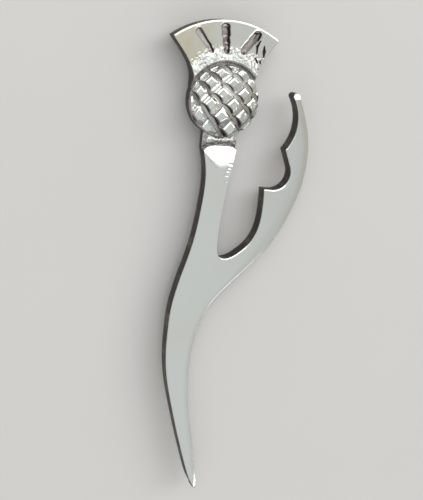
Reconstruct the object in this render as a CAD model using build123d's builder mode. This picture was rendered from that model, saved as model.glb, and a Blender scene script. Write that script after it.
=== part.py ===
"""Thistle kilt pin lying face up: a cast thistle with a curved stem and one notched leaf,
and the plain pin fitting on its back.

Millimetres. +Z is up, out of the face. +Y runs from the stem's point to the thistle head.
+X is the side of the leaf. The origin lies under the middle of the outline, on the surface
that the feet of the fitting stand on.
"""
from build123d import *
from math import acos, ceil, cos, hypot, radians, sin, tan
import os

os.makedirs("parts", exist_ok=True)

# Plate that the stem, leaf and flower are cast in
plate_thickness = 3.5
stand_off = 4.0

# How far the pieces of the casting run into each other
bury = 0.4

# Stem: from the neck under the bulb to the fork, and the blade from there to its point
fork_depth = 23.3
blade_length = 50.8
stem_width = 7.4
stem_sway = 9.6
roll_length = 3.2
roll_drop = 0.7
fork_radius = 1.6

# Leaf, from the fork's bottom up to its tip
leaf_rise = 33.9
leaf_spread = 19.2
leaf_width = 8.35
leaf_tip_width = 1.45
notch_fall = 1.1
notch_reach = 7.3
notch_radius = 3.65
tooth_height = 8.0
tooth_reach = 4.7
scallop_radius = 9.3

# Thistle head, set on an axis that leans to the leaf's side
head_lean = 4.2
neck_width = 7.2
neck_length = 2.24
neck_drop = 0.6
neck_shoulder = 1.1
neck_root = 1.5
ring_width = 0.5
ring_height = 0.3
ring_drop = 0.3

bulb_radius = 7.3
bulb_rim_drop = 0.3
bulb_dome = 3.3

stud_step_across = 2.38
stud_step_along = 2.2
stud_base = 2.65
stud_top = 1.5
stud_height = 0.55
stud_root = 0.6
stud_field_shift = 0.4
stud_rim_margin = 0.4
stud_rim_gap = 0.06

flower_rise = 8.94
flower_radius = 19.0
flower_half_angle = 36.0
flower_shift = -0.35
flank_angle = 35.6
waist_inset = 0.7
waist_rise = 4.26
groove_length = 5.0
groove_width = 2.0

valley_width = 0.75
valley_depth = 0.6
brow_width = 2.2
brow_height = 0.75
brow_foot = 0.25

# Pin fitting: hinge block, pin and catch in one piece
seat_gap = 0.05
hinge_width = 10.0
hinge_length = 6.0
hinge_shift = 1.2
catch_width = 4.4
catch_length = 4.0
catch_drop = 10.2
catch_shift = 0.9
block_round = 0.8
foot_chamfer = 0.3
pin_diameter = 1.6
pin_clear_of_floor = 0.5
pin_overrun = 1.5
pin_point_length = 3.0
pin_point_radius = 0.25

# Sections across the stem above the fork: place as a share of the fork's depth, shift of the
# middle as a share of the sway, width as a share of the stem's
STEM_COLUMNS = ("along", "sway", "width")
STEM_SECTIONS = (
    (0.000, 0.000, 1.000),
    (0.181, 0.043, 0.770),
    (0.372, 0.119, 0.664),
    (0.553, 0.210, 0.646),
    (0.728, 0.298, 0.674),
    (0.910, 0.388, 0.800),
)

# The same below the fork, places as shares of the blade's length; the first two hold the
# root of the leaf as well
BLADE_SECTIONS = (
    (0.057, 0.168, 1.899),
    (0.135, 0.489, 1.447),
    (0.201, 0.706, 1.131),
    (0.285, 0.867, 0.891),
    (0.370, 0.960, 0.764),
    (0.457, 0.996, 0.676),
    (0.545, 0.984, 0.578),
    (0.635, 0.939, 0.484),
    (0.726, 0.872, 0.420),
    (0.819, 0.792, 0.353),
    (0.914, 0.708, 0.262),
    (0.972, 0.641, 0.165),
    (0.990, 0.626, 0.075),
)
POINT_SWAY = 0.620
STEM_TOP_SLOPE = 0.3

# Sections across the leaf before it is notched: rise above the fork, place of the outer
# edge as a share of the spread, width as a share of the leaf's, and the edges that it gives
LEAF_COLUMNS = ("rise", "spread", "width", "edges")
LEAF_SECTIONS = (
    (0.037, 0.520, 0.706, "both"),
    (0.077, 0.576, 0.616, "inner"),
    (0.164, 0.693, 0.640, "both"),
    (0.288, 0.819, 0.800, "both"),
    (0.421, 0.925, 1.000, "both"),
    (0.523, 0.971, 0.000, "outer"),
    (0.666, 1.000, 0.000, "outer"),
    (0.832, 0.966, 0.000, "outer"),
)
LEAF_TIP_SPREAD = 0.862
LEAF_TIP_ROUND = 0.6
NOTCH_STRAIGHT = 0.95

# Grooves pressed into the flower. The upper end is placed by a turn about the middle of the
# flower's arc and a reach from there, as shares of the half angle and the radius. The lean is
# in degrees, and length and widths are shares of the groove's.
GROOVE_COLUMNS = ("turn", "reach", "lean", "length", "top_width", "foot_width")
GROOVES = (
    (-0.575, 0.904, -31.0, 0.90, 0.80, 0.45),
    (-0.045, 0.914, -5.0, 0.96, 1.00, 0.55),
    (0.590, 0.898, 38.0, 1.00, 0.85, 0.45),
    (0.690, 0.824, 14.0, 0.44, 0.28, 0.18),
    (0.855, 0.833, 12.0, 0.44, 0.35, 0.18),
)

# Shares that shape the brow: floor of the valley in its width, crest in the brow's width
VALLEY_FLOOR_SHARE = 0.6
BROW_CREST_SHARE = 0.45

back_level = stand_off
face_level = back_level + plate_thickness


def rows(columns, table):
    """Rows of a table as dictionaries by column name."""
    return [dict(zip(columns, row)) for row in table]


def unit(x, y):
    """Direction of length one along (x, y)."""
    size = hypot(x, y)
    return (x / size, y / size)


def edge_points(table, top, length):
    """Left and right edge of the stem at a table's sections, below a level of the outline."""
    left = []
    right = []
    for row in rows(STEM_COLUMNS, table):
        y = top - row["along"] * length
        middle = -row["sway"] * stem_sway
        half = row["width"] * stem_width / 2
        left.append((middle - half, y))
        right.append((middle + half, y))
    return left, right


def blade_middle(drop):
    """Middle of the blade at a drop below the fork, between its two nearest sections."""
    place = drop / blade_length
    table = rows(STEM_COLUMNS, BLADE_SECTIONS)
    for upper, lower in zip(table, table[1:]):
        if upper["along"] <= place <= lower["along"]:
            part_way = (place - upper["along"]) / (lower["along"] - upper["along"])
            sway = upper["sway"] + part_way * (lower["sway"] - upper["sway"])
            return -sway * stem_sway
    raise ValueError("the catch is past the ends of the blade")


# Edge points measured from the neck's middle, before the outline is centred on the origin
stem_length = fork_depth + blade_length
stem_left, stem_right = edge_points(STEM_SECTIONS, 0, fork_depth)
blade_left, blade_right = edge_points(BLADE_SECTIONS, -fork_depth, blade_length)
stem_point = (-POINT_SWAY * stem_sway, -stem_length)

leaf_outer = []
leaf_inner = []
for row in rows(LEAF_COLUMNS, LEAF_SECTIONS):
    y = -fork_depth + row["rise"] * leaf_rise
    x = row["spread"] * leaf_spread
    if row["edges"] in ("both", "outer"):
        leaf_outer.append((x, y))
    if row["edges"] in ("both", "inner"):
        leaf_inner.append((x - row["width"] * leaf_width, y))
leaf_tip = (LEAF_TIP_SPREAD * leaf_spread, leaf_rise - fork_depth)
tip_drop = leaf_tip_width * LEAF_TIP_ROUND
leaf_tip_outer = (leaf_tip[0] + leaf_tip_width / 2, leaf_tip[1] - tip_drop)
leaf_tip_inner = (leaf_tip[0] - leaf_tip_width / 2, leaf_tip[1] - tip_drop)

# Notch: a floor from the leaf's corner, a wall up to the tooth, and an arc between them that
# leaves a little of each straight
lower_corner = leaf_inner[-1]
notch_corner = (lower_corner[0] + notch_reach, lower_corner[1] - notch_fall)
tooth = (lower_corner[0] + tooth_reach, lower_corner[1] + tooth_height)
floor_way = unit(lower_corner[0] - notch_corner[0], lower_corner[1] - notch_corner[1])
wall_way = unit(tooth[0] - notch_corner[0], tooth[1] - notch_corner[1])
floor_length = hypot(lower_corner[0] - notch_corner[0], lower_corner[1] - notch_corner[1])
wall_length = hypot(tooth[0] - notch_corner[0], tooth[1] - notch_corner[1])
notch_angle = acos(floor_way[0] * wall_way[0] + floor_way[1] * wall_way[1])
widest_arc = NOTCH_STRAIGHT * min(floor_length, wall_length) * tan(notch_angle / 2)
notch_arc = min(notch_radius, widest_arc)

# The outline's box: the head's highest point is on the arc of the flower
lean = radians(head_lean)
head_axis = (sin(lean), cos(lean))
head_across = (cos(lean), -sin(lean))
bulb_height = neck_length + bulb_radius
flower_height = bulb_height + bulb_radius + flower_rise
arc_middle_height = flower_height - flower_radius
arc_middle_y = flower_shift * head_across[1] + arc_middle_height * head_axis[1]
outline_top = arc_middle_y + flower_radius
outline_left = min(x for x, y in stem_left + blade_left)
outline_right = max(x for x, y in leaf_outer)
neck_x = -(outline_left + outline_right) / 2
neck_y = -(outline_top - stem_length) / 2


def placed(points):
    """Points of the outline moved from the neck's middle to the part's own frame."""
    return [(x + neck_x, y + neck_y) for x, y in points]


def head_plane(level, across=0.0, along=0.0):
    """Plane of the head at a level, its y axis along the leaning axis from the neck up."""
    x = neck_x + across * head_across[0] + along * head_axis[0]
    y = neck_y + across * head_across[1] + along * head_axis[1]
    return Plane(origin=(x, y, level), x_dir=(head_across[0], head_across[1], 0), z_dir=(0, 0, 1))


def upright_plane(across, along, turn):
    """Upright plane through the vertical at (across, along) of the head, turned about it.

    Its x axis lies level, turned from the head's axis by the angle, and its y axis is up.
    """
    base = head_plane(0, across, along)
    angle = radians(turn)
    out = base.x_dir * sin(angle) + base.y_dir * cos(angle)
    return Plane(origin=base.origin, x_dir=out, z_dir=out.cross(Vector(0, 0, 1)))


# Bulb with its field of studs, cut off by the bulb's round side
dome_radius = (bulb_radius ** 2 + bulb_dome ** 2) / (2 * bulb_dome)
bulb_rim_level = face_level - bulb_rim_drop
dome_centre_level = bulb_rim_level + bulb_dome - dome_radius
bulb_plane = head_plane(0, 0, bulb_height)
stud_reach = dome_radius + stud_height
step_across = stud_step_across / stud_reach
step_along = stud_step_along / stud_reach


def stud_distance(i, j):
    """Distance in plan of a stud of the field from the middle of the bulb."""
    return hypot(stud_reach * sin(i * step_across), stud_reach * sin(j * step_along))


stud_limit = ceil(bulb_radius / min(stud_step_across, stud_step_along))
stud_cells = [
    (i, j)
    for i in range(-stud_limit, stud_limit + 1)
    for j in range(-stud_limit, stud_limit + 1)
    if (i + j) % 2 == 0 and stud_distance(i, j) < bulb_radius - stud_rim_margin
]


def stud_plane(i, j, height):
    """Plane square to the dome at a stud of the field, at a height above the dome."""
    tilt_across = i * step_across
    tilt_along = j * step_along
    out = Vector(sin(tilt_across) * cos(tilt_along), sin(tilt_along), cos(tilt_across) * cos(tilt_along))
    side = Vector(cos(tilt_across), 0, -sin(tilt_across))
    reach = dome_radius + height
    local = out * reach + Vector(stud_field_shift, -stud_field_shift / 2, dome_centre_level)
    origin = bulb_plane.from_local_coords(local)
    frame = Plane(
        origin=origin,
        x_dir=bulb_plane.from_local_coords(side) - bulb_plane.origin,
        z_dir=bulb_plane.from_local_coords(out) - bulb_plane.origin,
    )
    return frame.rotated((0, 0, 45))


with BuildPart() as studs:
    for i, j in stud_cells:
        with BuildSketch(stud_plane(i, j, -stud_root)):
            Rectangle(stud_base, stud_base)
        with BuildSketch(stud_plane(i, j, stud_height)):
            Rectangle(stud_top, stud_top)
        loft()
    with BuildSketch(bulb_plane.offset(back_level)):
        Circle(bulb_radius - stud_rim_gap)
    extrude(amount=plate_thickness + bulb_dome + stud_height, mode=Mode.INTERSECT)

with BuildPart() as bulb:
    with BuildSketch(upright_plane(0, bulb_height, 0)):
        with BuildLine():
            Polyline((0, bulb_rim_level + bulb_dome), (0, back_level), (bulb_radius, back_level))
            Line((bulb_radius, back_level), (bulb_radius, bulb_rim_level))
            RadiusArc((bulb_radius, bulb_rim_level), (0, bulb_rim_level + bulb_dome), -dome_radius)
        make_face()
    revolve(axis=Axis(bulb_plane.origin, (0, 0, 1)))
    add(studs.part)


# Outline of the flower: an arc on two flanks that narrow to a waist
flower_half = radians(flower_half_angle)
flower_corner = (flower_radius * sin(flower_half), arc_middle_height + flower_radius * cos(flower_half))
waist = (bulb_radius - waist_inset, bulb_height + waist_rise)
flower_foot = (waist[0], bulb_height)
flank = (sin(radians(flank_angle)), cos(radians(flank_angle)))
with BuildSketch(head_plane(back_level, flower_shift)) as flower:
    with BuildLine():
        RadiusArc((-flower_corner[0], flower_corner[1]), flower_corner, flower_radius)
        Spline(flower_corner, waist, tangents=((-flank[0], -flank[1]), (0, -1)))
        Line(waist, flower_foot)
        Line(flower_foot, (-flower_foot[0], flower_foot[1]))
        Line((-flower_foot[0], flower_foot[1]), (-waist[0], waist[1]))
        Spline(
            (-waist[0], waist[1]),
            (-flower_corner[0], flower_corner[1]),
            tangents=((0, 1), (-flank[0], flank[1])),
        )
    make_face()


# Swollen brow of the flower, round the bulb's upper side and inside the flower's outline
valley_floor = bulb_radius + valley_width * VALLEY_FLOOR_SHARE
brow_inner = bulb_radius + valley_width
brow_outer = brow_inner + brow_width
brow_top = face_level + brow_height
with BuildPart() as brow:
    with BuildSketch(upright_plane(0, bulb_height, 0)):
        with BuildLine():
            Polyline(
                (valley_floor, back_level + brow_foot),
                (valley_floor, face_level - valley_depth),
                (brow_inner, brow_top),
                (brow_inner + brow_width * BROW_CREST_SHARE, brow_top),
                (brow_outer, face_level),
                (brow_outer, back_level + brow_foot),
                close=True,
            )
        make_face()
    revolve(axis=Axis(bulb_plane.origin, (0, 0, 1)))
    extrude(flower.sketch, amount=plate_thickness + 2 * brow_height, mode=Mode.INTERSECT)


with BuildPart() as thistle_casting:
    # Stem and leaf
    with BuildSketch(Plane.XY.offset(back_level)):
        left = placed(stem_left + blade_left)
        right = placed(stem_right)
        outer = placed(list(reversed(leaf_outer)) + blade_right)
        inner = placed(leaf_inner)
        tip_in, tip, tip_out = placed([leaf_tip_inner, leaf_tip, leaf_tip_outer])
        notch_at, tooth_at, point = placed([notch_corner, tooth, stem_point])
        fork_start = (right[-1][0], neck_y - fork_depth + fork_radius)
        fork_floor = (fork_start[0] + fork_radius, neck_y - fork_depth)
        with BuildLine():
            Spline(*left)
            Line(left[0], right[0])
            Spline(*right, fork_start, tangents=(unit(-STEM_TOP_SLOPE, -1), (0, -1)))
            RadiusArc(fork_start, fork_floor, -fork_radius)
            Spline(fork_floor, *inner, tangents=((1, 0), (0, 1)))
            FilletPolyline(inner[-1], notch_at, tooth_at, radius=notch_arc)
            RadiusArc(tooth_at, tip_in, -scallop_radius)
            ThreePointArc(tip_in, tip, tip_out)
            Spline(tip_out, *outer)
            ThreePointArc(outer[-1], point, left[-1])
        make_face()
    extrude(amount=plate_thickness)

    # The stem's upper end rolls down to the neck
    roll_radius = (roll_length ** 2 + roll_drop ** 2) / (2 * roll_drop)
    with BuildSketch(upright_plane(0, 0, 0)):
        with BuildLine():
            RadiusArc((-roll_length, face_level), (0, face_level - roll_drop), roll_radius)
            Polyline(
                (0, face_level - roll_drop),
                (roll_length, face_level - roll_drop),
                (roll_length, face_level + roll_drop),
                (-roll_length, face_level + roll_drop),
                (-roll_length, face_level),
            )
        make_face()
    extrude(amount=stem_width, both=True, mode=Mode.SUBTRACT)

    # Flower, with its grooves
    extrude(flower.sketch, amount=plate_thickness)
    with BuildSketch(bulb_plane.offset(face_level - valley_depth)):
        Circle(valley_floor)
        Circle(bulb_radius - bury, mode=Mode.SUBTRACT)
    extrude(amount=valley_depth, mode=Mode.SUBTRACT)
    add(brow.part)
    for groove in rows(GROOVE_COLUMNS, GROOVES):
        turn = groove["turn"] * flower_half
        reach = groove["reach"] * flower_radius
        top = groove["top_width"] * groove_width / 2
        foot = groove["foot_width"] * groove_width / 2
        end = groove["length"] * groove_length
        across = flower_shift + reach * sin(turn)
        height = arc_middle_height + reach * cos(turn)
        groove_plane = upright_plane(across, height, groove["lean"])
        with BuildSketch(groove_plane):
            with BuildLine():
                Line((top, face_level), (-end - foot, face_level))
                RadiusArc((-end - foot, face_level), (-end, face_level - foot), -foot)
                Line((-end, face_level - foot), (0, face_level - top))
                RadiusArc((0, face_level - top), (top, face_level), -top)
            make_face()
        start = groove_plane.from_local_coords((0, face_level, 0))
        revolve(axis=Axis(start, groove_plane.x_dir), mode=Mode.SUBTRACT)

    add(bulb.part)

    # Neck and the ring under the bulb
    neck_top = face_level - neck_drop
    neck_plane = Plane(
        origin=head_plane(0).origin,
        x_dir=(head_across[0], head_across[1], 0),
        z_dir=(-head_axis[0], -head_axis[1], 0),
    )
    ring_start = neck_length - ring_drop - ring_width
    for start_along, length, proud in (
        (-bury, bury + neck_length + neck_root, 0),
        (ring_start, ring_width, ring_height),
    ):
        with BuildSketch(neck_plane.offset(-start_along)):
            half = neck_width / 2 + proud
            top_level = neck_top + proud
            with BuildLine():
                FilletPolyline(
                    (-half, back_level),
                    (-half, top_level),
                    (half, top_level),
                    (half, back_level),
                    radius=neck_shoulder,
                )
                Line((half, back_level), (-half, back_level))
            make_face()
        extrude(amount=-length)

thistle_casting.part.label = "thistle_casting"
export_step(thistle_casting.part, "parts/thistle_casting.step")


# Pin fitting on the back of the casting: the hinge block stands behind the bulb, the catch
# behind the stem, and the pin runs straight from one to the other
pin_radius = pin_diameter / 2
pin_level = pin_clear_of_floor + pin_radius
block_height = stand_off - seat_gap
catch_x = blade_middle(catch_drop) + catch_shift
catch_y = -fork_depth - catch_drop
hinge_origin = head_plane(0, hinge_shift, bulb_height).origin
catch_origin = Vector(catch_x + neck_x, catch_y + neck_y, 0)
pin_way = (catch_origin - hinge_origin).normalized()
pin_span = (catch_origin - hinge_origin).length
pin_start = Plane(origin=hinge_origin + Vector(0, 0, pin_level), x_dir=(0, 0, 1), z_dir=pin_way)
pin_length = pin_span + catch_length / 2 + pin_overrun
fitting_plane = Plane(origin=hinge_origin, x_dir=(-pin_way.Y, pin_way.X, 0), z_dir=(0, 0, 1))

with BuildPart() as pin_fitting:
    with BuildSketch(fitting_plane):
        RectangleRounded(hinge_width, hinge_length, block_round)
        with Locations((0, -pin_span)):
            RectangleRounded(catch_width, catch_length, block_round)
    extrude(amount=block_height)
    chamfer(pin_fitting.edges().group_by(Axis.Z)[0], foot_chamfer)
    with BuildSketch(pin_start):
        Circle(pin_radius)
    extrude(amount=pin_length - pin_point_length)
    with BuildSketch(pin_start.offset(pin_length - pin_point_length)):
        Circle(pin_radius)
    with BuildSketch(pin_start.offset(pin_length)):
        Circle(pin_point_radius)
    loft()

pin_fitting.part.label = "pin_fitting"
export_step(pin_fitting.part, "parts/pin_fitting.step")
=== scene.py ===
"""Thistle kilt pin lying face up, with its casting modelled in full relief, and its studio.

Shapes are worked out in millimetres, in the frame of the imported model: +X towards the leaf,
+Y from the stem's point to the thistle head, +Z out of the face. put_mesh turns them to metres.
"""

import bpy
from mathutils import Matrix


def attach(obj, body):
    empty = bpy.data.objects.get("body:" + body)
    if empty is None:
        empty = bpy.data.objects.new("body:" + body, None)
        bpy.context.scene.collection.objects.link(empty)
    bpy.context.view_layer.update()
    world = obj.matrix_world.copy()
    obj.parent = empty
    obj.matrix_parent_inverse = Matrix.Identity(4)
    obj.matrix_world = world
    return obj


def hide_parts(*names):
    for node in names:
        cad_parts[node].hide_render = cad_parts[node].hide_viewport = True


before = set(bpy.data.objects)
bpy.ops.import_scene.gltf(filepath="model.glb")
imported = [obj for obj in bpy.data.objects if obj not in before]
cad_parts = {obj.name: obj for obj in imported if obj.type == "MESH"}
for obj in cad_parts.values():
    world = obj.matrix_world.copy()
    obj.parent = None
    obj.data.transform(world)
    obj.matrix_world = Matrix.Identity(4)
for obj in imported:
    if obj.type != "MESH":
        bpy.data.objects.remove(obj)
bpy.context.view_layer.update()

from math import ceil, cos, pi, radians, sin, sqrt, tan
from types import SimpleNamespace

import bpy
import numpy as np
from mathutils import Matrix, Vector
from mathutils.geometry import delaunay_2d_cdt

bl_info = {
    "name": "Thistle Kilt Pin",
    "version": (1, 0, 0),
    "blender": (4, 5, 0),
    "location": "3D View > Sidebar > Kilt Pin",
    "description": "Casting, pin fitting and studio of a thistle kilt pin",
    "category": "Object",
}

MM = 0.001

# Sections across the stem above the fork: place as a share of the fork's depth, shift of the
# middle as a share of the sway, width as a share of the stem's
STEM_SECTIONS = (
    (0, 0, 1), (0.181, 0.043, 0.77), (0.372, 0.119, 0.664),
    (0.553, 0.21, 0.646), (0.728, 0.298, 0.674), (0.91, 0.388, 0.8),
)

# The same below the fork, places as shares of the blade's length
BLADE_SECTIONS = (
    (0.057, 0.168, 1.899), (0.135, 0.489, 1.447), (0.201, 0.706, 1.131), (0.285, 0.867, 0.891),
    (0.37, 0.96, 0.764), (0.457, 0.996, 0.676), (0.545, 0.984, 0.578), (0.635, 0.939, 0.484),
    (0.726, 0.872, 0.42), (0.819, 0.792, 0.353), (0.914, 0.708, 0.262), (0.972, 0.641, 0.165),
    (0.99, 0.626, 0.075),
)
POINT_SWAY = 0.62
STEM_TOP_SLOPE = 0.3

# Outer edge of the leaf: rise above the fork and place, as shares of the rise and the spread
LEAF_OUTER = (
    (0.037, 0.52), (0.164, 0.693), (0.288, 0.819), (0.421, 0.925),
    (0.523, 0.971), (0.666, 1), (0.832, 0.966),
)

# Its inner edge below the notch: rise, place of the outer edge beside it, width of the leaf
LEAF_INNER = (
    (0.037, 0.52, 0.706), (0.077, 0.576, 0.616), (0.164, 0.693, 0.64),
    (0.288, 0.819, 0.8), (0.421, 0.925, 1),
)
LEAF_TIP_SPREAD = 0.862
LEAF_TIP_ROUND = 0.6
NOTCH_STRAIGHT = 0.95

# Grooves and nicks in the flower: turn and reach of the upper end as shares of the half angle and
# the radius, lean in degrees, length, widths at both ends and depth as shares of the groove's,
# and darkening on the floor, film and painted shade, and at both ends of the right side, painted
# shade on the wall that faces left
GROOVES = (
    (-0.552, 0.916, -38, 0.92, 0.74, 0.44, 0.16, 0.42, 0.85, 1),
    (-0.397, 0.762, -25.5, 0.33, 0.22, 0.21, 0.4, 0.9, 1, 1),
    (-0.042, 0.915, -6.8, 0.92, 1, 0.58, 0.7, 0.48, 0.95, 1),
    (0.597, 0.917, 39.5, 0.85, 0.86, 0.7, 0.4, 0.14, 0.9, 0.7),
    (0.627, 0.946, 89, 0.23, 0.22, 0.18, 0.5, 0.8, 0.9, 0.9),
    (0.643, 0.938, 23.3, 0.24, 0.28, 0.18, 0.6, 0.9, 1, 1),
    (0.579, 0.914, 31.3, 0.23, 0.15, 0.12, 0.5, 0.85, 0.9, 0.9),
    (0.699, 0.877, 29.5, 0.25, 0.15, 0.27, 0.45, 0.85, 1, 1),
    (0.689, 0.811, 0.4, 0.28, 0.27, 0.12, 0.45, 0.85, 1, 1),
    (0.821, 0.851, -2.1, 0.21, 0.13, 0.34, 0.45, 0.9, 1, 1),
    (0.878, 0.804, 1.7, 0.22, 0.34, 0.13, 0.45, 0.9, 1, 1),
    (0.793, 0.689, -32.5, 0.16, 0.22, 0.16, 0.35, 0.7, 0.9, 0.9),
    (0.93, 0.7, 1.4, 0.09, 0.17, 0.15, 0.35, 0.7, 0.9, 0.9),
)

# File marks across the stem: distance from its end, length, and depth as a share of the marks'.
# They fade between two shares of the length.
FILE_MARKS = ((3.6, 0.9, 1.1), (4.4, 1, 1.1), (5.1, 1.2, 1), (6, 1.3, 0.95), (7.2, 0.9, 0.85))
MARK_WIDTH = 0.2
MARK_FADE = (0.8, 1.2)

# Rolled end of the stem: end and power of its arch, powers of the roll and of its shortening at
# the left, and how much shorter it is at the right
ARCH_END, ARCH_POWER = 1.2, 4
ROLL_POWER, LEFT_POWER, RIGHT_SIDE = 1.3, 1.8, 0.3

# Steps of the lines, and pitches of the nets of points: fine in the head, just below it and near
# the tips
SAMPLE_STEP = 0.04
OUTLINE_STEP, FINE_OUTLINE_STEP, OUTER_STEP = 0.22, 0.13, 0.6
HEAD_PITCH, PLATE_PITCH, BACK_PITCH = 0.115, 0.45, 2.0
NET_CLEAR = 0.4
RIM_OFFSETS = (0.012, 0.04, 0.08, 0.12, 0.2, 0.32, 0.44)
RIM_SLACK = 0.3
FINE_BELOW_NECK, LEAF_FROM = 8.2, 8.4
HEAD_CLEAR = 0.5
BLOCK = 1500

# Rows of the side walls as shares of the way to the back, the painted shade on each, and the
# back's:
# the dark colour stands in for the dark surroundings that the walls reflect
WALL_ROWS = (0.05, 0.3, 0.6, 0.85, 1)
WALL_PAINTED_SHADE = (1, 1, 1, 1, 0.7)
BACK_PAINTED_SHADE = 0.3
SHARP_DEGREES = 50

# Seeds of the random fields, and the side of their square nets
SEEDS = {
    "coarse grit": 11, "fine grit": 12, "brow streaks": 13, "groove streaks": 17,
    "groove walls": 18, "groove sides": 19, "wrinkles": 21, "saddles": 23, "studs": 31,
    "stains": 41,
}
GRAIN_NET, STUD_NET = 257, 64

# Grit: size of the fine field as a share of the coarse one's, how flat the coarse tops are, and
# the shares of both
FINE_GRIT, GRIT_FLAT = 0.55, 2.0
COARSE_SHARE, FINE_SHARE = 0.6, 0.5

# Worn edges: turns up the pin, or to the worn side, between which the bevel grows, with its
# slopes, and the flats at both tips by direction, slope and reach
UPPER_TURN, UPPER_SLOPE = (0.58, 0.76), 0.24
WORN_SIDE, WORN_TURN, WORN_SLOPE = (0.67, -0.74), (0.976, 0.986), 0.19
TIP_FLATS = (((-0.1, 0.995), 0.25, 1.25), ((0.98, -0.2), 0.08, 0.9))
TIP_NEAR = 4.0
CROWN_NARROWS, CROWN_FROM, CROWN_TO = 0.6, -6, 8

# Studs: end of their field as a share of the ball, pinch of the bands, share of the gentle slope,
# steepest rise of a band, tilt and wrinkles of the tops, grain of the saddles, and dark lines at
# their feet and sides, with the darkening of the slopes: painted shade, like shadows of the studs,
# with some film on the gentle slopes and beside the studs
FIELD_END = 0.95
SCALLOP, GENTLE_SHARE, MOST_RISE = 0.62, 0.32, 0.4
TOP_TILT, WRINKLE, WRINKLE_SIZE = 0.04, 0.075, 0.5
SADDLE_GRAIN, SADDLE_SIZE = 0.024, 0.3
FOOT_LINE, SIDE_LINE = 0.185, 0.1
GENTLE_FILM_AND_SHADE, STEEP_SHADE, SIDE_FILM_AND_SHADE = 0.3, 0.9, 0.6

# Grooves, in shares of the half width: waves of the sides and of the wall, where that starts,
# where floor and darkening end, how the painted shade darkens the wall at the right, the streaks
# of the darkening, and the line along the rim, film and painted shade. Lip: width, place in
# widths, and the directions that it fades between.
SIDE_WAVE, SIDE_WAVE_SIZE = 0.2, 0.5
WALL_AT, WALL_WAVE, WALL_WAVE_SIZE = 0.3, 0.4, 0.35
FLOOR_END, DARKENING_END, WALL_DARKENS = (0.8, 1), (0.92, 1.05), (-0.25, 0.15)
STREAK, STREAK_SIZE, STREAK_DRAWN = 0.22, 0.17, 0.2
RIM_PLACE, RIM_FILM_AND_SHADE, RIM_WIDTH, RIM_SHARE = 0.94, 0.75, 0.11, 0.35
LIP_WIDTH, LIP_PLACE, LIP_FADE = 0.13, 1.1, (0.55, 0.95)

# Neck: how sharp and clean the ring is, the groove at the stem's end, darkened with film and
# painted shade, and how much higher its grit is. Half the width over which neck and bulb join the
# rest.
RING_SHARP, RING_CLEAN = 1.8, 0.7
GAP_PLACE, GAP_WIDTH, GAP_DEPTH, GAP_FILM_AND_SHADE = 0.4, 0.36, 0.4, 0.8
NECK_GRIT = 1.9
JOIN = 0.06

# Brow: place of its crest as a share of it. Shares of the valley where the brow starts, the wall
# stands and the grit starts. Film: streaks, pits darkened with film and painted shade, and an even
# base. Crease round the bulb, darkened with film and painted shade.
CREST_SHARE = 0.12
SWELL_FROM, VALLEY_WALL, GRIT_FROM = 0.5, (0.35, 0.85), 0.6
BROW_STREAK, BROW_PITS, BASE_FILM = 0.2, 0.28, 0.07
CREASE_WIDTH, CREASE_DEPTH, CREASE_FILM_AND_SHADE = 0.14, 0.14, 0.55


def share(value, description, **kind):
    """Property for a plain number."""
    return bpy.props.FloatProperty(description=description, default=value, **kind)


def length(mm, description):
    """Property for a length, given in millimetres and kept in metres."""
    return share(mm * MM, description, subtype="DISTANCE", unit="LENGTH", precision=5)


def position(mm, description):
    """Property for a point, given in millimetres and kept in metres."""
    return bpy.props.FloatVectorProperty(
        description=description, default=[part * MM for part in mm], subtype="XYZ", unit="LENGTH"
    )


def angle(degrees, description):
    """Property for an angle, given in degrees and kept in radians."""
    return share(radians(degrees), description, subtype="ANGLE", unit="ROTATION")


def colour(value, description):
    """Property for a colour, as linear red, green and blue."""
    return bpy.props.FloatVectorProperty(
        description=description, default=value, size=3, subtype="COLOR", min=0.0, max=1.0
    )


def labelled(group):
    """The group, with each property's name spelt from its key."""
    for key, prop in group.__annotations__.items():
        prop.keywords["name"] = key.replace("_", " ").capitalize()
    return group


@labelled
class KiltPinOutline(bpy.types.PropertyGroup):
    """Sizes of the outline that stem, leaf and flower are cast in."""

    stand_off: length(4.0, "Height of the back over the surface below")
    plate_thickness: length(3.5, "Back to face")
    fork_depth: length(23.3, "Neck to bottom of the fork")
    blade_length: length(50.8, "Bottom of the fork to the point")
    stem_width: length(7.4, "Width at the upper end")
    stem_sway: length(9.6, "Farthest swing to the left")
    fork_radius: length(1.6, "Round at the fork's bottom")
    leaf_rise: length(33.9, "Bottom of the fork to the tip")
    leaf_spread: length(19.2, "Neck's middle to the outer edge")
    leaf_width: length(8.35, "Widest part, under the notch")
    leaf_tip_width: length(1.45, "Width of the round tip")
    notch_fall: length(1.1, "Drop of its floor from the outer end")
    notch_reach: length(7.3, "How far it cuts into the leaf")
    notch_radius: length(3.65, "Round in its corner")
    tooth_height: length(8.0, "Height over the notch's floor")
    tooth_reach: length(4.7, "Shift from the floor's outer end")
    scallop_radius: length(9.3, "Hollow edge from the tooth to the tip")
    edge_round: length(0.1, "Round along the front edge")
    edge_bevel: length(0.33, "Width of the bevel on worn edges")
    crown_width: length(2.6, "Band where the face falls to the leaf's outer edge")
    crown_drop: length(0.19, "How far it falls there")


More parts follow.
